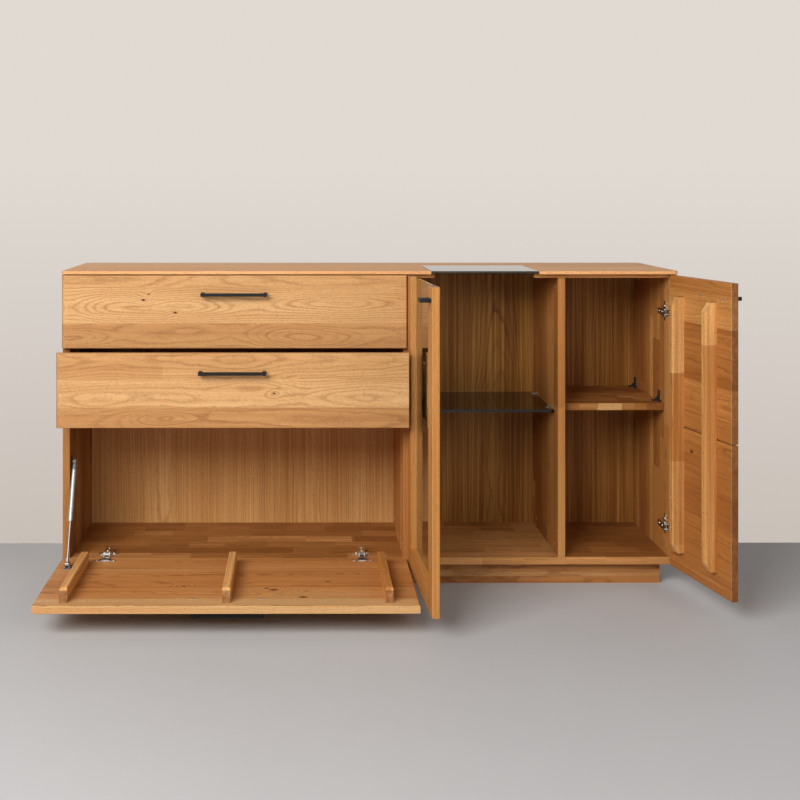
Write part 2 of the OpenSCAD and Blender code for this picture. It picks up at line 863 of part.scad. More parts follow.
module lower_drawer_bottom() translate([0, lower_y, 0]) drawer_bottom(lower_box_z);

module lower_drawer_handle() translate([0, lower_y, 0]) drawer_handle(lower_z0);

// Flap: in its frame x runs from the hinge edge to the upper edge and z runs towards -X

module flap_panel() {
    color(oak_pale) flap_frame(flap_open) difference() {
        soft_panel([door_out, door_out, -wide_x1], [flap_h - pivot_inset, door_in, -wide_x0],
                   front_r, up = end_r);
        for (x = flap_hinge_x) cup_bore(-x);
        for (x = flap_batten_x, u = flap_screws) batten_screw_hole(u, -x, flap_batten_h);
        translate([flap_handle_u, door_out, -wide_mid_x]) rotate([0, 90, 0])
            handle_holes(long_handle_cc, front_t);
    }
}

module flap_battens() {
    color(oak) flap_frame(flap_open) for (x = flap_batten_x) difference() {
        batten(flap_batten_u0, flap_batten_u1, -x, flap_batten_h, [flap_slope_l, flap_slope_h]);
        for (u = flap_screws) batten_screw_hole(u, -x, flap_batten_h);
    }
}

module flap_batten_screws() {
    color(steel) flap_frame(flap_open) for (x = flap_batten_x, u = flap_screws)
        batten_screw(u, -x, flap_batten_h);
}

module flap_handle() {
    flap_frame(flap_open) translate([flap_handle_u, door_out, -wide_mid_x]) rotate([0, 90, 0])
        handle(long_handle_cc);
}

module flap_hinge_cups() {
    color(steel) flap_frame(flap_open) for (x = flap_hinge_x) translate([0, 0, -x]) hinge_cup();
}

module flap_hinge_links() {
    color(steel) flap_frame(flap_open * link_ratio)
        for (x = flap_hinge_x) translate([0, 0, -x]) hinge_link();
}

// Strut: a bracket on the flap, a rod that swings on its stud, a cylinder over the rod, and a wall
// bracket. The cylinder's socket lies beside the stud of the wall bracket.

module strut_frame() {
    translate([strut_x, strut_top_y, strut_top_z]) rotate([-strut_angle, 0, 0]) children();
}

module strut_wall_bracket() {
    color(black) difference() {
        block([bay1_x0, strut_top_y - 9, strut_top_z - 20],
              [bay1_x0 + wall_plate_t, strut_top_y + 9, strut_top_z + 18]);
        for (z = [strut_top_z - 14, strut_top_z + 12])
            rod_x([bay1_x0 - cut, strut_top_y, z], wall_plate_t + 2 * cut, 2);
    }
    color(steel) rod_x([bay1_x0 + wall_plate_t, strut_top_y, strut_top_z],
                       strut_side - eye_half - wall_gap - wall_plate_t, 4);
}

module strut_cylinder() {
    inner_r = cylinder_r - 1.5;
    color(steel) strut_frame() translate([0, 0, -fitting_l - cylinder_l]) difference() {
        cylinder(h = cylinder_l, r = cylinder_r, $fn = round_fn);
        translate([0, 0, 3]) cylinder(h = cylinder_l - 6, r = inner_r, $fn = round_fn);
        translate([0, 0, -cut]) cylinder(h = 5, r = rod_r + 0.3, $fn = round_fn);
    }
}

// Plastic socket on the cylinder's upper end
module strut_socket() {
    socket_r = 8.5;
    neck = 6.5;
    color(grey_green) strut_frame() {
        rod_x([-eye_half, 0, 0], 2 * eye_half, socket_r);
        translate([0, 0, -fitting_l]) cylinder(h = fitting_l - 7, r = neck, $fn = round_fn);
        translate([0, 0, -fitting_l]) cylinder(h = 5, r = cylinder_r, $fn = round_fn);
    }
}

module strut_rod() {
    inside = 14;
    start = eye_r - 1;
    color(steel) strut_frame() {
        translate([0, 0, -strut_l + start])
            cylinder(h = strut_l - fitting_l - cylinder_l + inside - start, r = rod_r, $fn = round_fn);
        translate([0, 0, -strut_l + start]) cylinder(h = neck_l - start, r = neck_r, $fn = round_fn);
        difference() {
            rod_x([-eye_half, 0, -strut_l], 2 * eye_half, eye_r);
            rod_x([-eye_half - cut, 0, -strut_l], 2 * eye_half + 2 * cut, eye_bore_r);
        }
        translate([0, 0, -fitting_l - cylinder_l + inside])
            cylinder(h = 8, r = cylinder_r - 1.8, $fn = round_fn);
    }
}

// In the flap's frame +z points to the side panel
module flap_strut_bracket() {
    plate_w = -strut_x - eye_half - 1;
    foot_t = 1.2;
    foot_front = 24;
    u = strut_reach;
    color(steel) flap_frame(flap_open) {
        block([u - 12, door_in, plate_w - 16],
              [u + foot_front, door_in + foot_t, plate_w + 2 * eye_half + 2]);
        block([u - 8, door_in, plate_w - 2], [u + 8, strut_stud_v + 6, plate_w]);
        translate([u, strut_stud_v, plate_w]) cylinder(h = 2 * eye_half, r = stud_r, $fn = round_fn);
        for (du = [-7, 16]) rod_y([u + du, door_in + foot_t, plate_w - 9], 1, 3);
    }
}

// Glass door

module glass_door_stiles() {
    color(oak_pale) glass_frame(glass_door_open) difference() {
        union() {
            soft_panel([door_out, door_out, fronts_z0], [door_out + stile_w, door_in, fronts_z1], front_r);
            soft_panel([glass_door_w - pivot_inset - stile_w, door_out, fronts_z0],
                       [glass_door_w - pivot_inset, door_in, fronts_z1], front_r);
        }
        pane_space();
        for (z = door_z) cup_bore(z);
        translate([short_handle_u, door_out, short_handle_z]) handle_holes(short_handle_cc, front_t);
    }
}

module pane_space() {
    block([door_out + stile_w - pane_rebate, door_in - pane_t, fronts_z0 + rail_h - pane_rebate],
          [glass_door_w - pivot_inset - stile_w + pane_rebate, door_in + cut, fronts_z1 + cut]);
}

module glass_door_rail() {
    color(oak_pale) glass_frame(glass_door_open) difference() {
        soft_board_along(door_out + stile_w, glass_door_w - pivot_inset - stile_w);
        pane_space();
    }
}

// The rail between the stiles, with its lower edges rounded
module soft_board_along(u0, u1) {
    translate([u0, 0, 0]) rotate([90, 0, 90]) linear_extrude(u1 - u0)
        rounded_rect(door_out, door_in, fronts_z0, fronts_z0 + rail_h, front_r);
}

module glass_door_pane() {
    play = 0.5;
    color(clear) glass_frame(glass_door_open)
        block([door_out + stile_w - pane_rebate + play, door_in - pane_t,
               fronts_z0 + rail_h - pane_rebate + play],
              [glass_door_w - pivot_inset - stile_w + pane_rebate - play, door_in, fronts_z1 - front_r]);
}

module glass_door_handle() {
    glass_frame(glass_door_open) translate([short_handle_u, door_out, short_handle_z])
        handle(short_handle_cc);
}

module glass_door_hinge_cups() {
    color(steel) glass_frame(glass_door_open) for (z = door_z) translate([0, 0, z]) hinge_cup();
}

module glass_door_hinge_links() {
    color(steel) glass_frame(glass_door_open * link_ratio)
        for (z = door_z) translate([0, 0, z]) hinge_link();
}

// Solid door: two panels, split level with the gap over the flap, held together by two battens

split_z = flap_z1;

module solid_door_panel(z0, z1) {
    color(oak_pale) solid_frame(solid_door_open) difference() {
        soft_panel([door_out, door_out, z0], [solid_door_w - pivot_inset, door_in, z1],
                   front_r, left = end_r);
        for (z = door_z) cup_bore(z);
        for (u = solid_batten_u) upright(u) for (z = door_screws) batten_screw_hole(z, 0, door_batten_h);
        translate([door_handle_u, door_out, door_handle_z]) handle_holes(door_handle_cc, front_t);
    }
}

module solid_door_upper_panel() solid_door_panel(split_z + front_gap, fronts_z1);

module solid_door_lower_panel() solid_door_panel(fronts_z0, split_z);

module solid_door_battens() {
    color(oak) solid_frame(solid_door_open) for (u = solid_batten_u) upright(u) difference() {
        batten(batten_z0, batten_z1, 0, door_batten_h, [door_slope_l, door_slope_h]);
        for (z = door_screws) batten_screw_hole(z, 0, door_batten_h);
    }
}

module solid_door_batten_screws() {
    color(steel) solid_frame(solid_door_open) for (u = solid_batten_u) upright(u)
        for (z = door_screws) batten_screw(z, 0, door_batten_h);
}

module solid_door_handle() {
    solid_frame(solid_door_open) translate([door_handle_u, door_out, door_handle_z]) handle(door_handle_cc);
}

module solid_door_hinge_cups() {
    color(steel) solid_frame(solid_door_open) for (z = door_z) translate([0, 0, z]) hinge_cup();
}

module solid_door_hinge_links() {
    color(steel) solid_frame(solid_door_open * link_ratio)
        for (z = door_z) translate([0, 0, z]) hinge_link();
}

module hinge_arms() {
    color(steel) {
        flap_frame() for (x = flap_hinge_x) translate([0, 0, -x]) hinge_arm(flap_mount);
        glass_frame() for (z = door_z) translate([0, 0, z]) hinge_arm(glass_mount);
        solid_frame() for (z = door_z) translate([0, 0, z]) hinge_arm(solid_mount);
    }
}

left_side();
right_side();
left_divider();
right_divider();
bottom_board();
drawer_shelf();
sub_top();
top_board_left();
top_board_right();
top_rear_strip();
top_glass();
top_glass_pads();
back_panel_left();
back_panel_middle();
back_panel_right();
plinth_rails();
plinth_cross_rails();
glass_shelf();
glass_shelf_clamps();
wood_shelf();
wood_shelf_clips();
connector_caps();
runner_channels();
hinge_arms();
strut_wall_bracket();
upper_drawer_front();
upper_drawer_box();
upper_drawer_bottom();
upper_drawer_handle();
upper_drawer_rails();
upper_runner_middles();
lower_drawer_front();
lower_drawer_box();
lower_drawer_bottom();
lower_drawer_handle();
lower_drawer_rails();
lower_runner_middles();
flap_panel();
flap_battens();
flap_batten_screws();
flap_handle();
flap_hinge_cups();
flap_strut_bracket();
flap_hinge_links();
strut_cylinder();
strut_socket();
strut_rod();
glass_door_stiles();
glass_door_rail();
glass_door_pane();
glass_door_handle();
glass_door_hinge_cups();
glass_door_hinge_links();
solid_door_upper_panel();
solid_door_lower_panel();
solid_door_battens();
solid_door_batten_screws();
solid_door_handle();
solid_door_hinge_cups();
solid_door_hinge_links();
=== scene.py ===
import math
import random

import bpy
from mathutils import Euler, Matrix, Vector


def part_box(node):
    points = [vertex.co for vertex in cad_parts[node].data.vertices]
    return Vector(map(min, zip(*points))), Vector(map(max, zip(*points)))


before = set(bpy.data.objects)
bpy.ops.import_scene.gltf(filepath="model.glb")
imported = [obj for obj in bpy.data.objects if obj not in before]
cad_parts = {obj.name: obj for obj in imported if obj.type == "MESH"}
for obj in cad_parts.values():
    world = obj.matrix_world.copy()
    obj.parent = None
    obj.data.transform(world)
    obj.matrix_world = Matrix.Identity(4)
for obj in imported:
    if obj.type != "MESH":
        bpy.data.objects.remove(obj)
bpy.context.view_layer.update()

# How far the doors stand open at rest
GLASS_DOOR_OPEN = math.radians(87)
SOLID_DOOR_OPEN = math.radians(101)

# Directions at rest: a door's OUT points from its hinge to its free edge, its IN to its inner face
LEFT_TO_RIGHT = Vector((1, 0, 0))
BACKWARDS = Vector((0, 1, 0))
FORWARDS = Vector((0, -1, 0))
UPWARDS = Vector((0, 0, 1))
GLASS_DOOR_OUT = Vector((math.cos(GLASS_DOOR_OPEN), -math.sin(GLASS_DOOR_OPEN), 0))
GLASS_DOOR_IN = Vector((math.sin(GLASS_DOOR_OPEN), math.cos(GLASS_DOOR_OPEN), 0))
SOLID_DOOR_OUT = Vector((-math.cos(SOLID_DOOR_OPEN), -math.sin(SOLID_DOOR_OPEN), 0))
SOLID_DOOR_IN = Vector((-math.sin(SOLID_DOOR_OPEN), math.cos(SOLID_DOOR_OPEN), 0))

# A noise stays mostly between these values
NOISE_LOW = 0.3
NOISE_HIGH = 0.7


def rgb(red, green, blue):
    return (red, green, blue, 1.0)


def grey(level):
    return rgb(level, level, level)


class Graph:
    """The nodes of one material or world, added one after another."""

    def __init__(self, owner, output="ShaderNodeOutputMaterial"):
        owner.use_nodes = True
        self.owner = owner
        self.tree = owner.node_tree
        self.tree.nodes.clear()
        self.output = self.node(output)

    def node(self, kind, **settings):
        made = self.tree.nodes.new(kind)
        for key, value in settings.items():
            setattr(made, key, value)
        return made

    def put(self, socket, value):
        if isinstance(value, bpy.types.NodeSocket):
            self.tree.links.new(value, socket)
        elif value is not None:
            socket.default_value = value

    def surface(self, shader):
        self.put(self.output.inputs["Surface"], shader)
        return self.owner

    def place(self):
        return self.node("ShaderNodeTexCoord").outputs["Object"]

    def math(self, operation, a, b=None):
        made = self.node("ShaderNodeMath", operation=operation)
        for socket, value in zip(made.inputs, (a, b)):
            self.put(socket, value)
        return made.outputs[0]

    def add(self, a, b):
        return self.math("ADD", a, b)

    def times(self, a, b):
        return self.math("MULTIPLY", a, b)

    def largest(self, a, b):
        return self.math("MAXIMUM", a, b)

    def length(self, a, b):
        """Length of the line whose two parts are a and b."""
        return self.math("SQRT", self.add(self.times(a, a), self.times(b, b)))

    def inside(self, value, low, high):
        return self.times(self.math("GREATER_THAN", value, low), self.math("LESS_THAN", value, high))

    def span(self, value, low, high, to_low=0.0, to_high=1.0, smooth=False):
        """The value moved from the range low to high into another range, and held to it."""
        made = self.node("ShaderNodeMapRange")
        if smooth:
            made.interpolation_type = "SMOOTHSTEP"
        for key, number in (("Value", value), ("From Min", low), ("From Max", high),
                            ("To Min", to_low), ("To Max", to_high)):
            self.put(made.inputs[key], number)
        return made.outputs["Result"]

    def spread(self, noise, low=0.0, high=1.0):
        return self.span(noise, NOISE_LOW, NOISE_HIGH, low, high)

    def vector(self, x, y, z):
        made = self.node("ShaderNodeCombineXYZ")
        for socket, value in zip(made.inputs, (x, y, z)):
            self.put(socket, value)
        return made.outputs[0]

    def split(self, vector):
        made = self.node("ShaderNodeSeparateXYZ")
        self.put(made.inputs[0], vector)
        return made.outputs

    def dot(self, vector, direction):
        made = self.node("ShaderNodeVectorMath", operation="DOT_PRODUCT")
        self.put(made.inputs[0], vector)
        self.put(made.inputs[1], direction)
        return made.outputs["Value"]

    def noise(self, vector, scale, detail, roughness):
        made = self.node("ShaderNodeTexNoise")
        self.put(made.inputs["Vector"], vector)
        self.put(made.inputs["Scale"], scale)
        self.put(made.inputs["Detail"], detail)
        self.put(made.inputs["Roughness"], roughness)
        return made.outputs["Fac"]

    def ramp(self, value, stops, constant=False):
        made = self.node("ShaderNodeValToRGB")
        made.color_ramp.interpolation = "CONSTANT" if constant else "LINEAR"
        elements = made.color_ramp.elements
        while len(elements) > 1:
            elements.remove(elements[-1])
        elements[0].position = stops[0][0]
        elements[0].color = stops[0][1]
        for place, colour in stops[1:]:
            elements.new(place).color = colour
        self.put(made.inputs["Fac"], value)
        return made.outputs

    def channels(self, colour):
        made = self.node("ShaderNodeSeparateColor")
        self.put(made.inputs[0], colour)
        return made.outputs

    def greyed(self, level):
        """A grey as bright as a changing value."""
        made = self.node("ShaderNodeCombineColor")
        for socket in made.inputs:
            self.put(socket, level)
        return made.outputs[0]

    def mix(self, factor, a, b, blend="MIX"):
        made = self.node("ShaderNodeMix", data_type="RGBA", blend_type=blend)
        # The node keeps its sockets for colours after those for numbers and vectors
        for number, value in ((0, factor), (6, a), (7, b)):
            self.put(made.inputs[number], value)
        return made.outputs[2]

    def tinted(self, colour, tint):
        return self.mix(1.0, colour, tint, "MULTIPLY")

    def bump(self, height, distance, strength):
        made = self.node("ShaderNodeBump")
        self.put(made.inputs["Height"], height)
        self.put(made.inputs["Distance"], distance)
        self.put(made.inputs["Strength"], strength)
        return made.outputs["Normal"]

    def principled(self, **values):
        """Gives the material its surface and returns the material."""
        made = self.node("ShaderNodeBsdfPrincipled")
        for key, value in values.items():
            self.put(made.inputs[key.replace("_", " ")], value)
        return self.surface(made.outputs[0])


# Oak

# Each kind of oak runs from its palest to its reddest staves
FRONT_OAK = (rgb(0.71, 0.420, 0.187), rgb(0.570, 0.296, 0.111), rgb(0.430, 0.195, 0.067))
TOP_OAK = (rgb(0.93, 0.515, 0.235), rgb(0.84, 0.420, 0.170), rgb(0.66, 0.305, 0.110))
DEEP_OAK = (rgb(0.70, 0.360, 0.118), rgb(0.54, 0.222, 0.055), rgb(0.36, 0.124, 0.027))
MIXED_OAK = (rgb(0.89, 0.515, 0.192), rgb(0.54, 0.222, 0.055), rgb(0.36, 0.124, 0.027))
FLOOR_OAK = (rgb(0.98, 0.475, 0.165), rgb(0.54, 0.222, 0.055), rgb(0.36, 0.124, 0.027))
FLAP_OAK = (rgb(0.66, 0.392, 0.170), rgb(0.59, 0.252, 0.074), rgb(0.40, 0.142, 0.037))
BACK_OAK = (rgb(0.54, 0.275, 0.070), rgb(0.33, 0.135, 0.023), rgb(0.17, 0.060, 0.008))
BACK_VENEER = (rgb(0.70, 0.420, 0.178), rgb(0.55, 0.286, 0.096), rgb(0.38, 0.172, 0.050))

# Tints that change the wood's colour, and colours that cover it
RING_TINT = rgb(0.55, 0.39, 0.28)
END_GRAIN_TINT = rgb(0.42, 0.40, 0.50)
PORE_COLOUR = rgb(0.24, 0.108, 0.040)
KNOT_COLOUR = rgb(0.075, 0.026, 0.008)

# The pith of the tree lies this deep below a stave and leans this much along it
PITH_DEPTH = (0.012, 0.125)
PITH_TILT = 0.05

# How far the rows of staves differ from even ones: edge and pith in widths of a stave, depth as a share
EDGE_CHANCE = 0.5
PITH_CHANCE = 2.4
DEPTH_CHANCE = 0.7

# How unevenly end joints lie, and how far the pieces between them differ in pith and in depth
JOINT_CHANCE = 0.8
PIECE_PITH = 0.05
PIECE_DEPTH = 0.03

# Steps that give each board, stave and piece another part of the noises
BOARD_STEP = 1.37
STAVE_STEP = 13.7
JOINT_STEP = 5.3
PIECE_STEP = 9.1

# Noises of the wood: waves to the metre along the grain and across it, detail and roughness
SLOW_WAVES = (2.6, 7.0, 1.5, 0.45)
FINE_WAVES = (20.0, 60.0, 1.0, 0.5)
PATCHES = (1.7, 16.0, 2.0, 0.5)
DRIFTS = (0.9, 9.0, 2.0, 0.5)
FIBRES = (32.0, 900.0, 2.0, 0.6)
DASHES = (120.0, 1700.0, 0.0, 0.5)
STREAKS_ALONG = 1.6
STREAKS_ACROSS = 85.0
MOTTLE_ACROSS = 60.0
MOTTLE_THROUGH = 130.0

# How far the fine waves bend the rings, and how much the tone changes by drifts and streaks
FINE_BEND = 0.0010
DRIFT_TONE = 0.20
STREAK_TONE = 0.13

# Brightness of the fibres, strength of the ring lines by ring and by patch, and of the end grain's mottle
FIBRE_RANGE = (0.93, 1.06)
RING_RANGE = (0.30, 1.0)
PATCH_RANGE = (0.40, 1.0)
MOTTLE_RANGE = (0.65, 1.0)

# A knot is longer than broad; its rings and its core reach this many radii
KNOT_BREADTH_SHARE = 0.55
KNOT_RINGS = 7
KNOT_RISE = 2.6
KNOT_CORE = (0.35, 1.5)

# Pores show where the dashes are brightest, and more of them in the ring lines
PORE_LIMITS = (0.66, 0.74)
PORE_STRENGTH = 0.6
PORES_IN_LINES = 0.12

# A face shows end grain where the cosine between its normal and the grain is above this
END_FACE = 0.8

# The tint of a broad face sets in at this share of its height
FACE_START = 0.7

OAK_ROUGHNESS = (0.41, 0.55)
OAK_SPECULAR = 0.22
OAK_BUMP = 0.00025


def held(value):
    return min(max(value, 0.0), 1.0)


def staves(width, stave, seed, tone=0.45, spread=0.35, depth=0.55):
    """Rows of staves across a board: (upper edge, pith, depth, tilt, tone), each from 0 to 1."""
    pick = random.Random(seed)
    count = max(1, round(width / stave))
    rows = []
    for i in range(count):
        edge = (i + 1 + (pick.random() - 0.5) * EDGE_CHANCE) / count
        pith = held((i + 0.5 + (pick.random() - 0.5) * PITH_CHANCE) / count)
        row_depth = held(depth + (pick.random() - 0.5) * DEPTH_CHANCE)
        tilt = pick.random()
        row_tone = held(tone + (pick.random() - 0.5) * 2 * spread)
        rows.append((1.0 if i == count - 1 else edge, pith, row_depth, tilt, row_tone))
    return rows


def board_place(g, grain, across, centre):
    """A point's place from the board's centre: along the grain, across it and through the board."""
    turn = Matrix((grain, across, grain.cross(across)))
    mapping = g.node("ShaderNodeMapping")
    g.put(mapping.inputs["Vector"], g.place())
    mapping.inputs["Rotation"].default_value = turn.to_euler("XYZ")
    mapping.inputs["Location"].default_value = -(turn @ Vector(centre))
    return g.split(mapping.outputs[0])


def oval(g, x, y, middle_x, middle_y, scale_x, scale_y):
    """Distance from a middle, with the two directions scaled apart."""
    return g.length(g.times(g.add(x, -middle_x), scale_x), g.times(g.add(y, -middle_y), scale_y))


def oak(name, grain, across, centre, width, rows, kind=DEEP_OAK, seed=0, joints=0.0, mixed=0.24,
        shade=1.0, figure=1.0, ring=0.0042, breadth=1.0, wave=0.011, streaks=1.6, fineness=1.0,
        knots=(), swirls=(), blocks=(), faces=()):
    """Oak with growth rings that run through the whole board, in staves with their own figure and tone.

    grain and across are the board's directions, centre is its middle and width its size across.
    rows is made by staves() or written like its result. kind holds the colours, shade their brightness.
    joints is the mean length between a stave's end joints, mixed how far the pieces between differ.
    figure is the strength of the ring lines, ring their distance, breadth how broad they are and
    wave how far they wander. streaks is the strength of the streaks, fineness how close they lie.
    Measured along and across from the board's centre, knots lists (along, across, radius), swirls
    lists (along, across, half length, half width, rise) and blocks lists (from, to, lower edge,
    upper edge, change of tone). faces lists (height of a broad face above the middle, its tint).
    """
    g = Graph(bpy.data.materials.new(name))
    grain = grain.normalized()
    across = across.normalized()
    x, y, z = board_place(g, grain, across, centre)

    # The stave that a point lies in, with its pith, depth, tilt and tone as one colour
    lower_edges = [0.0] + [row[0] for row in rows[:-1]]
    stops = [(edge, row[1:]) for edge, row in zip(lower_edges, rows)]
    look = g.ramp(g.span(y, -width / 2, width / 2), stops, constant=True)
    pith, depth, tilt = g.channels(look["Color"])
    tone = look["Alpha"]
    start = g.add(g.times(tone, STAVE_STEP), seed * BOARD_STEP)
    pith = g.span(pith, 0, 1, -width / 2, width / 2)
    depth = g.span(depth, 0, 1, *PITH_DEPTH)
    tilt = g.span(tilt, 0, 1, -PITH_TILT, PITH_TILT)
    if joints:
        cells = g.node("ShaderNodeTexVoronoi", voronoi_dimensions="1D")
        g.put(cells.inputs["W"], g.add(g.times(x, 1 / joints), g.times(start, JOINT_STEP)))
        g.put(cells.inputs["Randomness"], JOINT_CHANCE)
        first, second, third = g.channels(cells.outputs["Color"])
        tone = g.add(tone, g.span(first, 0, 1, -mixed, mixed))
        pith = g.add(pith, g.span(second, 0, 1, -PIECE_PITH, PIECE_PITH))
        depth = g.add(depth, g.span(second, 0, 1, 0.0, PIECE_DEPTH))
        start = g.add(start, g.times(third, PIECE_STEP))
    for first, last, lower, upper, change in blocks:
        block = g.times(g.inside(x, first, last), g.inside(y, lower, upper))
        tone = g.add(tone, g.times(block, change))

    along = g.add(x, start)

    def grain_noise(lengthwise, crosswise, detail, roughness):
        """Noise drawn out along the grain, that starts elsewhere in every stave and piece."""
        place = g.vector(g.times(along, lengthwise), g.times(y, crosswise), g.times(z, crosswise))
        return g.noise(place, 1.0, detail, roughness)

    # Distance from the pith of the tree, bent by slow waves, swirls and knots
    radius = g.length(g.math("SUBTRACT", y, pith), g.add(g.add(z, depth), g.times(x, tilt)))
    radius = g.add(radius, g.span(grain_noise(*SLOW_WAVES), 0.25, 0.75, -wave, wave))
    radius = g.add(radius, g.span(grain_noise(*FINE_WAVES), 0.2, 0.8, -FINE_BEND, FINE_BEND))
    for swirl_x, swirl_y, half_x, half_y, rise in swirls:
        away = oval(g, x, y, swirl_x, swirl_y, 1 / half_x, 1 / half_y)
        radius = g.add(radius, g.span(away, 0.0, 1.0, rise, 0.0, smooth=True))
    knot_wood = 0.0
    for knot_x, knot_y, size in knots:
        away = oval(g, x, y, knot_x, knot_y, KNOT_BREADTH_SHARE, 1.0)
        radius = g.add(radius, g.span(away, 0.0, size * KNOT_RINGS, size * KNOT_RISE, 0.0, smooth=True))
        core = g.span(away, size * KNOT_CORE[0], size * KNOT_CORE[1], 1.0, 0.0, smooth=True)
        knot_wood = g.largest(knot_wood, core)

    # Growth rings: a thin brown line, stronger in some rings and patches, then wood that slowly darkens
    rings = g.times(radius, 1 / ring)
    line = g.ramp(g.math("FRACT", rings), [
        (0.0, grey(0.20)), (0.09 * breadth, grey(1.0)), (0.30 * breadth, grey(0.16)),
        (0.31 + 0.31 * breadth, grey(0.0)), (1.0, grey(0.20)),
    ])["Color"]
    each = g.node("ShaderNodeTexWhiteNoise", noise_dimensions="1D")
    g.put(each.inputs["W"], g.math("FLOOR", rings))
    strength = g.times(g.span(each.outputs["Value"], 0, 1, *RING_RANGE), figure)
    strength = g.times(strength, g.spread(grain_noise(*PATCHES), *PATCH_RANGE))

    # Colour: tone of the stave, slow drifts, streaks, ring lines, fibres and the tints of the faces
    streak = grain_noise(STREAKS_ALONG, STREAKS_ACROSS * fineness, 3.0, 0.55)
    fibre = grain_noise(*FIBRES)
    tone = g.add(tone, g.spread(grain_noise(*DRIFTS), -DRIFT_TONE, DRIFT_TONE))
    tone = g.add(tone, g.spread(streak, -STREAK_TONE * streaks, STREAK_TONE * streaks))
    wood = g.ramp(tone, [(0.0, kind[0]), (0.5, kind[1]), (1.0, kind[2])])["Color"]
    wood = g.mix(g.times(line, strength), wood, g.tinted(wood, RING_TINT))
    darkest, brightest = FIBRE_RANGE
    wood = g.tinted(wood, g.greyed(g.spread(fibre, darkest * shade, brightest * shade)))
    for level, tint in faces:
        wood = g.mix(g.span(z, level * FACE_START, level), wood, g.tinted(wood, tint))

    # Pores: short dark dashes, closest together in the ring lines
    dash = g.add(grain_noise(*DASHES), g.times(line, PORES_IN_LINES))
    pore = g.span(dash, *PORE_LIMITS, 0.0, PORE_STRENGTH)
    wood = g.mix(pore, wood, PORE_COLOUR)
    wood = g.mix(knot_wood, wood, KNOT_COLOUR)

    # End grain soaks up more oil
    facing = g.dot(g.node("ShaderNodeTexCoord").outputs["Normal"], grain)
    speckle = g.vector(g.times(x, MOTTLE_ACROSS), g.times(y, MOTTLE_ACROSS), g.times(z, MOTTLE_THROUGH))
    mottle = g.spread(g.noise(speckle, 1.0, 3.0, 0.6), *MOTTLE_RANGE)
    end = g.times(g.math("GREATER_THAN", g.math("ABSOLUTE", facing), END_FACE), mottle)
    wood = g.mix(end, wood, g.tinted(wood, END_GRAIN_TINT))

    height = g.add(g.times(fibre, 0.35), g.times(pore, -0.9))
    return g.principled(
        Base_Color=wood,
        Roughness=g.span(fibre, 0.2, 0.8, *OAK_ROUGHNESS),
        Specular_IOR_Level=OAK_SPECULAR,
        Normal=g.bump(height, OAK_BUMP, 0.6),
    )


def middle(node):
    """Middle of a node's box."""
    low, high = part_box(node)
    return (Vector(low) + Vector(high)) / 2


def extent(node, direction):
    """Size of a node's box in a direction."""
    low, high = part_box(node)
    return sum(abs(direction[i]) * (high[i] - low[i]) for i in range(3))


def far_side(node, direction):
    """How far a node reaches in a direction."""
    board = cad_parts[node]
    return max(direction.dot(board.matrix_world @ vertex.co) for vertex in board.data.vertices)


def dress(node, material):
    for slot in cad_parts[node].material_slots:
        slot.material = material


def dress_board(node, grain, across, width=None, stave=0.1, seed=0, rows=None, **settings):
    """Oak for a node; width spans all boards where the node holds several side by side."""
    width = width or extent(node, across)
    look = {key: settings.pop(key) for key in ("tone", "spread", "depth") if key in settings}
    rows = rows or staves(width, stave, seed, **look)
    dress(node, oak("oak_" + node, grain, across, middle(node), width, rows, seed=seed, **settings))


# Fronts: wide staves over their whole length
dress_board(
    "upper_drawer_front", LEFT_TO_RIGHT, UPWARDS, seed=3, kind=FRONT_OAK, ring=0.0058, figure=0.85,
    streaks=1.2, breadth=1.5,
    rows=[(0.34, 0.20, 0.90, 0.46, 0.62), (0.84, 0.58, 0.20, 0.52, 0.26), (1.0, 0.95, 0.30, 0.62, 0.46)],
    knots=[(-0.279, 0.037, 0.0036), (-0.262, 0.055, 0.0024), (-0.181, -0.002, 0.0034)],
    swirls=[(0.205, -0.078, 0.24, 0.046, -0.024), (-0.505, -0.082, 0.17, 0.048, -0.028),
            (-0.170, 0.015, 0.20, 0.050, -0.020), (0.330, 0.030, 0.26, 0.050, -0.018),
            (-0.370, 0.016, 0.15, 0.052, -0.016)],
)
dress_board(
    "lower_drawer_front", LEFT_TO_RIGHT, UPWARDS, seed=8, kind=FRONT_OAK, ring=0.0056, figure=0.65,
    streaks=1.4, breadth=1.5,
    rows=[(0.275, 0.10, 0.80, 0.36, 0.78), (0.655, 0.40, 0.25, 0.47, 0.16), (1.0, 0.92, 0.34, 0.60, 0.44)],
    knots=[(0.125, -0.008, 0.0028)],
    swirls=[(-0.210, -0.082, 0.14, 0.032, -0.018), (0.060, 0.020, 0.20, 0.038, -0.012)],
    blocks=[(-0.60, -0.21, 0.034, 0.075, 0.20)],
)
dress_board(
    "flap_panel", LEFT_TO_RIGHT, FORWARDS, seed=12, kind=FLAP_OAK, figure=1.1,
    rows=[(0.249, 0.10, 0.30, 0.48, 0.50), (0.498, 0.36, 0.30, 0.50, 0.44), (0.639, 0.60, 0.30, 0.54, 0.68),
          (0.859, 0.72, 0.40, 0.47, 0.54), (1.0, 1.00, 0.20, 0.50, -0.05)],
    knots=[(0.128, 0.083, 0.007), (0.106, 0.070, 0.004), (0.2115, 0.145, 0.007), (0.283, 0.010, 0.004),
           (-0.130, 0.050, 0.004)],
    swirls=[(-0.300, -0.010, 0.28, 0.055, -0.022), (0.120, -0.012, 0.26, 0.050, -0.020)],
    faces=[(0.011, rgb(1.04, 1.18, 1.35))],
)

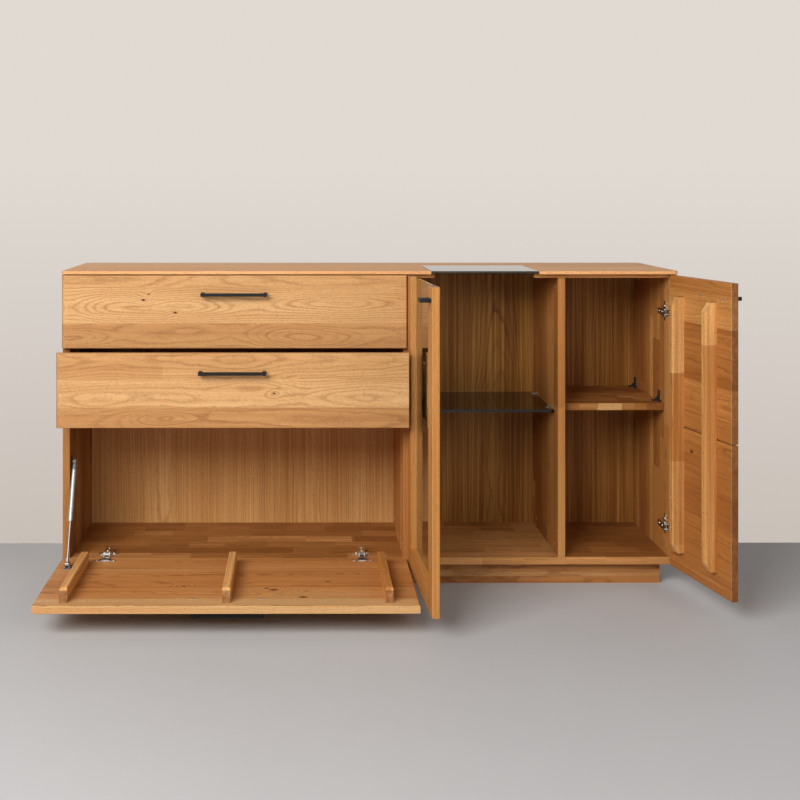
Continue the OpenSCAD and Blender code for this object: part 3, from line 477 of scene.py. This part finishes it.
# Top, and the board below it
for top_node, stave_width, top_seed in (
    ("top_board_left", 0.11, 15),
    ("top_board_right", 0.11, 16),
    ("top_rear_strip", 0.08, 17),
):
    dress_board(top_node, LEFT_TO_RIGHT, BACKWARDS, stave=stave_width, seed=top_seed, kind=TOP_OAK,
                tone=0.34, spread=0.15)
dress_board("sub_top", LEFT_TO_RIGHT, BACKWARDS, stave=0.06, seed=18, joints=0.35)

# The glass door's frame
dress_board("glass_door_stiles", UPWARDS, GLASS_DOOR_OUT, width=0.48, stave=0.08, seed=21, tone=0.36,
            spread=0.12, shade=0.90)
dress_board("glass_door_rail", GLASS_DOOR_OUT, UPWARDS, stave=0.08, seed=22, tone=0.45, spread=0.1)

# The solid door, and the battens of both door and flap
dress_board(
    "solid_door_upper_panel", SOLID_DOOR_OUT, UPWARDS, seed=25, figure=0.9, wave=0.004, streaks=1.3,
    rows=[(0.141, 0.05, 0.45, 0.44, 0.72), (0.331, 0.22, 0.40, 0.52, 0.52), (0.52, 0.42, 0.50, 0.56, 0.86),
          (0.704, 0.62, 0.42, 0.45, 0.79), (0.914, 0.80, 0.38, 0.52, 0.34), (1.0, 1.0, 0.30, 0.48, 0.68)],
    knots=[(-0.100, -0.142, 0.004)],
    faces=[(-0.011, rgb(1.28, 1.68, 2.4))],
)
dress_board(
    "solid_door_lower_panel", SOLID_DOOR_OUT, UPWARDS, seed=29, figure=0.9, wave=0.005, streaks=1.3,
    rows=[(0.23, 0.12, 0.36, 0.55, 0.88), (0.44, 0.30, 0.50, 0.44, 0.80), (0.65, 0.58, 0.40, 0.56, 0.92),
          (0.84, 0.72, 0.46, 0.46, 0.80), (1.0, 0.95, 0.36, 0.52, 0.66)],
    knots=[(-0.045, 0.158, 0.005)],
    faces=[(-0.011, rgb(1.32, 1.76, 2.6))],
)
dress_board(
    "solid_door_battens", UPWARDS, SOLID_DOOR_OUT, width=0.36, seed=31, kind=MIXED_OAK, figure=0.9,
    rows=[(0.5, 0.30, 0.55, 0.50, 0.52), (1.0, 0.70, 0.60, 0.48, 0.46)],
    blocks=[(0.158, 0.5, -0.2, 0.0, -0.20), (0.265, 0.5, 0.0, 0.2, -0.23), (-0.5, -0.36, -0.2, 0.0, -0.12),
            (-0.108, 0.158, -0.2, 0.0, 0.16)],
)
dress_board(
    "flap_battens", FORWARDS, LEFT_TO_RIGHT, width=0.95, seed=33, kind=MIXED_OAK,
    rows=[(0.33, 0.25, 0.40, 0.55, 0.34), (0.66, 0.55, 0.50, 0.45, 0.26), (1.0, 0.85, 0.45, 0.52, 0.54)],
)

# Carcass. The photograph shows the left side dark inside: its low shade and darker inner face are painted
# shade, and its outer face is brightened again
for upright, upright_seed, settings in (
    ("left_side", 41, {"shade": 0.66, "faces": [(-0.011, grey(0.78)), (0.011, grey(1.42))]}),
    ("right_side", 44, {"shade": 0.89}),
    ("left_divider", 47, {"shade": 0.95}),
    # The right divider's block darkens its faces behind the front edge as painted shade inside the bays
    ("right_divider", 50, {"shade": 0.84, "blocks": [(-1, 1, -0.18, 0.3, 0.28)]}),
):
    dress_board(upright, UPWARDS, BACKWARDS, stave=0.055, seed=upright_seed, joints=2.2, **settings)
# Bottom board: the block from 0.12 to 0.60 pales the middle bay's floor as painted light
dress_board(
    "bottom_board", LEFT_TO_RIGHT, BACKWARDS, seed=53, kind=FLOOR_OAK, joints=0.62, shade=0.68,
    mixed=0.15,
    rows=[(0.124, 0.10, 0.40, 0.50, 0.54), (0.261, 0.20, 0.50, 0.52, 0.68), (0.426, 0.36, 0.42, 0.47, 0.64),
          (0.591, 0.50, 0.55, 0.50, 0.70), (0.7375, 0.66, 0.45, 0.53, 0.60), (0.875, 0.80, 0.52, 0.46, 0.74),
          (1.0, 0.95, 0.40, 0.50, 0.66)],
    blocks=[(-0.516, -0.038, -0.0295, 0.0365, -0.36), (-0.807, -0.238, -0.1505, -0.0955, 0.50),
            (0.12, 0.60, -0.192, 0.3, -0.60), (0.10, 0.95, -0.3, -0.192, -0.45)],
)
dress_board("drawer_shelf", LEFT_TO_RIGHT, BACKWARDS, stave=0.055, seed=56, joints=0.6)
dress_board(
    "wood_shelf", LEFT_TO_RIGHT, BACKWARDS, stave=0.05, seed=59, kind=MIXED_OAK, joints=0.30, tone=0.72,
    spread=0.26, shade=0.66,
    blocks=[(-0.140, -0.047, -0.2, -0.17, -0.50), (-0.047, 0.028, -0.2, -0.17, -0.90),
            (0.028, 0.106, -0.2, -0.17, -0.40)],
)
dress_board(
    "plinth_rails", LEFT_TO_RIGHT, UPWARDS, seed=62, kind=FLAP_OAK, shade=0.75, figure=1.4, ring=0.0050,
    streaks=2.2, wave=0.005,
    rows=[(0.30, 0.20, 0.50, 0.47, 0.56), (0.62, 0.45, 0.42, 0.53, 0.40), (1.0, 0.85, 0.50, 0.50, 0.62)],
)
dress_board("plinth_cross_rails", BACKWARDS, UPWARDS, stave=0.08, seed=63)
for count, drawer in enumerate(("upper_drawer", "lower_drawer")):
    dress_board(drawer + "_box", BACKWARDS, UPWARDS, stave=0.08, seed=66 + count, tone=0.3)
    dress_board(drawer + "_bottom", LEFT_TO_RIGHT, BACKWARDS, stave=0.19, seed=69 + count, tone=0.3)

# Back panels: veneer in broad strips
dress_board("back_panel_left", UPWARDS, LEFT_TO_RIGHT, stave=0.35, seed=72, kind=BACK_VENEER, figure=0.75,
            shade=1.10, tone=0.44, spread=0.06, depth=0.95, ring=0.0058, streaks=1.9, wave=0.0020,
            fineness=2.2)
dress_board("back_panel_middle", UPWARDS, LEFT_TO_RIGHT, stave=0.24, seed=75, kind=BACK_OAK, figure=1.3,
            tone=0.42, spread=0.10, ring=0.0075, streaks=2.9, wave=0.010, shade=1.04, fineness=1.5)
dress_board("back_panel_right", UPWARDS, LEFT_TO_RIGHT, stave=0.24, seed=78, kind=BACK_OAK, figure=1.4,
            tone=0.45, spread=0.10, ring=0.0075, streaks=2.7, wave=0.014, fineness=1.5)


# Metal, plastic and glass

# Waves to the metre of the dull clouds and the fine scratches on metal, and of the smears on glass
CLOUDS = 90.0
SCRATCHES = 1400.0
SMEARS = 12.0

SCRATCH_BUMP = 0.00002
GLASS_IOR = 1.5

HANDLE_DARK = rgb(0.0050, 0.0046, 0.0042)
HANDLE_LIGHT = rgb(0.0085, 0.0080, 0.0075)
PLATING = rgb(0.72, 0.71, 0.69)

# Handles are plated from this far inside the face that they are screwed to
PLATING_MARGIN = 0.0003


def metal(name, colour, roughness, scratch, metallic=1.0):
    """Metal or plastic, whose roughness changes by scratch either way."""
    g = Graph(bpy.data.materials.new(name))
    place = g.place()
    cloud = g.noise(place, CLOUDS, 3.0, 0.6)
    scratches = g.noise(place, SCRATCHES, 2.0, 0.6)
    darker = rgb(*[channel * 0.9 for channel in colour])
    lighter = rgb(*[channel * 1.08 for channel in colour])
    return g.principled(
        Base_Color=g.mix(g.spread(cloud), darker, lighter),
        Metallic=metallic,
        Roughness=g.spread(g.add(g.times(cloud, 0.6), g.times(scratches, 0.4)),
                           roughness - scratch, roughness + scratch),
        Normal=g.bump(scratches, SCRATCH_BUMP, 0.4),
    )


def glass(name, colour, roughness=0.008):
    g = Graph(bpy.data.materials.new(name))
    smear = g.noise(g.place(), SMEARS, 3.0, 0.6)
    return g.principled(
        Base_Color=rgb(*colour),
        Transmission_Weight=1.0,
        IOR=GLASS_IOR,
        Roughness=g.span(smear, 0.35, 0.7, roughness * 0.4, roughness),
    )


def handle_metal(name, direction, face):
    """Black outside and plated where the screws stand out of the inner face, which lies at face."""
    g = Graph(bpy.data.materials.new(name))
    place = g.place()
    cloud = g.noise(place, CLOUDS, 3.0, 0.6)
    plated = g.math("GREATER_THAN", g.dot(place, direction), face)
    return g.principled(
        Base_Color=g.mix(plated, g.mix(g.spread(cloud), HANDLE_DARK, HANDLE_LIGHT), PLATING),
        Metallic=plated,
        Roughness=g.span(g.add(cloud, g.times(plated, -0.35)), 0.0, 1.0, 0.44, 0.60),
        Specular_IOR_Level=0.25,
    )


for material, nodes in (
    (metal("black_metal", (0.010, 0.0095, 0.009), 0.45, 0.06, metallic=0.0), ["strut_wall_bracket"]),
    (metal("black_plastic", (0.012, 0.0115, 0.011), 0.5, 0.05, metallic=0.0), ["wood_shelf_clips"]),
    (metal("grey_plastic", (0.115, 0.120, 0.095), 0.42, 0.05, metallic=0.0), ["strut_socket"]),
    (metal("zinc", (0.56, 0.57, 0.58), 0.36, 0.08),
     ["runner_channels", "upper_drawer_rails", "lower_drawer_rails", "upper_runner_middles",
      "lower_runner_middles"]),
    (metal("nickel", (0.70, 0.69, 0.67), 0.20, 0.06),
     ["hinge_arms", "flap_hinge_cups", "glass_door_hinge_cups", "solid_door_hinge_cups",
      "glass_shelf_clamps"]),
    (metal("screw_steel", (0.80, 0.79, 0.77), 0.36, 0.06),
     ["flap_batten_screws", "solid_door_batten_screws", "connector_caps"]),
    (metal("rod_steel", (0.24, 0.24, 0.25), 0.40, 0.05), ["strut_rod"]),
    # The hinge links are darkened as painted shade where they sit in shadow; the strut bracket is darker
    # steel
    (metal("dull_and_shaded_steel", (0.30, 0.295, 0.29), 0.38, 0.08),
     ["flap_hinge_links", "glass_door_hinge_links", "solid_door_hinge_links", "flap_strut_bracket"]),
    (metal("silver", (0.34, 0.345, 0.35), 0.50, 0.05), ["strut_cylinder"]),
    (glass("smoked_glass", (0.050, 0.048, 0.042)), ["glass_shelf"]),
    (glass("grey_glass", (0.20, 0.22, 0.20)), ["top_glass"]),
    (glass("pale_glass", (0.62, 0.66, 0.63)), ["glass_door_pane"]),
    (glass("clear_plastic", (0.85, 0.86, 0.86), 0.12), ["top_glass_pads"]),
):
    for node in nodes:
        dress(node, material)

for node, board, inwards in (
    ("upper_drawer_handle", "upper_drawer_front", BACKWARDS),
    ("lower_drawer_handle", "lower_drawer_front", BACKWARDS),
    ("flap_handle", "flap_panel", UPWARDS),
    ("glass_door_handle", "glass_door_stiles", GLASS_DOOR_IN),
    ("solid_door_handle", "solid_door_upper_panel", SOLID_DOOR_IN),
):
    plated_from = far_side(board, inwards) - PLATING_MARGIN
    dress(node, handle_metal("metal_" + node, inwards, plated_from))


# Floor, backdrop, light and camera

FLOOR_SIZE = 14
FLOOR_REAR_EDGE = 0.262
FLOOR_DARK = rgb(0.51, 0.51, 0.525)
FLOOR_LIGHT = rgb(0.57, 0.57, 0.585)
FLOOR_SPECKS = rgb(0.60, 0.60, 0.615)

# Height of the view's direction at which the wall is darkest and palest: painted shade that darkens it
# towards the floor
WALL_GRADIENT = (-0.27, 0.02)
WALL_LOW = rgb(0.575, 0.515, 0.468)
WALL_HIGH = rgb(0.745, 0.700, 0.650)
SKY_COLOUR = rgb(1.0, 0.975, 0.94)
SKY_STRENGTH = 0.14


def floor_material():
    g = Graph(bpy.data.materials.new("floor"))
    place = g.place()
    cloud = g.noise(place, 0.9, 4.0, 0.6)
    grain = g.noise(place, 14.0, 4.0, 0.65)
    colour = g.mix(g.spread(cloud), FLOOR_DARK, FLOOR_LIGHT)
    colour = g.mix(g.span(grain, 0.35, 0.7, 0.0, 0.35), colour, FLOOR_SPECKS)
    return g.principled(Base_Color=colour, Roughness=0.62)


def make_floor():
    bpy.ops.mesh.primitive_plane_add(size=1, location=(0, 0, 0))
    floor = bpy.context.object
    floor.name = "floor"
    floor.scale = (FLOOR_SIZE, FLOOR_SIZE, 1)
    floor.location = (0, FLOOR_REAR_EDGE - FLOOR_SIZE / 2, 0)
    floor.data.materials.append(floor_material())


def make_world():
    """A wall that is only seen, with painted shade darkening it towards the floor, and a faint even light.
    """
    g = Graph(bpy.data.worlds.new("studio"), "ShaderNodeOutputWorld")
    bpy.context.scene.world = g.owner
    direction = g.split(g.node("ShaderNodeTexCoord").outputs["Generated"])
    seen = g.node("ShaderNodeBackground")
    g.put(seen.inputs["Color"], g.mix(g.span(direction[2], *WALL_GRADIENT), WALL_LOW, WALL_HIGH))
    lit = g.node("ShaderNodeBackground")
    g.put(lit.inputs["Color"], SKY_COLOUR)
    g.put(lit.inputs["Strength"], SKY_STRENGTH)
    path = g.node("ShaderNodeLightPath").outputs
    mix = g.node("ShaderNodeMixShader")
    g.put(mix.inputs["Fac"], g.largest(g.largest(path["Is Camera Ray"], path["Is Glossy Ray"]),
                                       path["Is Transmission Ray"]))
    g.put(mix.inputs[1], lit.outputs[0])
    g.put(mix.inputs[2], seen.outputs[0])
    g.surface(mix.outputs[0])


def area_light(name, place, target, size, power, colour):
    data = bpy.data.lights.new(name, "AREA")
    data.shape = "RECTANGLE"
    data.size = size[0]
    data.size_y = size[1]
    data.energy = power
    data.color = colour
    lamp = bpy.data.objects.new(name, data)
    bpy.context.scene.collection.objects.link(lamp)
    lamp.location = place
    lamp.rotation_euler = (Vector(target) - Vector(place)).to_track_quat("-Z", "Y").to_euler()


make_floor()
make_world()
area_light("key", place=(-2.3, -4.0, 2.9), target=(-0.1, 0, 0.5), size=(3.0, 2.2), power=252,
           colour=(1.0, 0.98, 0.95))
area_light("fill", place=(2.4, -3.8, 2.2), target=(0.2, 0, 0.5), size=(2.2, 2.2), power=42,
           colour=(1.0, 0.98, 0.96))

# The photograph's camera: level, with its optical axis left of and above the middle of the picture,
# measured in pixels of the photograph
PICTURE = 800
FOCAL_LENGTH = 1215.0
AXIS_X = 303.5
AXIS_Y = 192.15
CAMERA_PLACE = (-0.2166, -3.9735, 1.2231)
CAMERA_TURN = -0.0031
SENSOR = 36

camera_data = bpy.data.cameras.new("camera")
camera_data.sensor_width = SENSOR
camera_data.lens = SENSOR * (FOCAL_LENGTH / PICTURE)
camera_data.shift_x = (PICTURE / 2 - AXIS_X) / PICTURE
camera_data.shift_y = (AXIS_Y - PICTURE / 2) / PICTURE
camera_data.clip_end = 60
camera = bpy.data.objects.new("camera", camera_data)
bpy.context.scene.collection.objects.link(camera)
camera.location = CAMERA_PLACE
camera.rotation_euler = Euler((math.radians(90), 0.0, CAMERA_TURN))
bpy.context.scene.camera = camera

bpy.context.scene.view_settings.view_transform = "Standard"
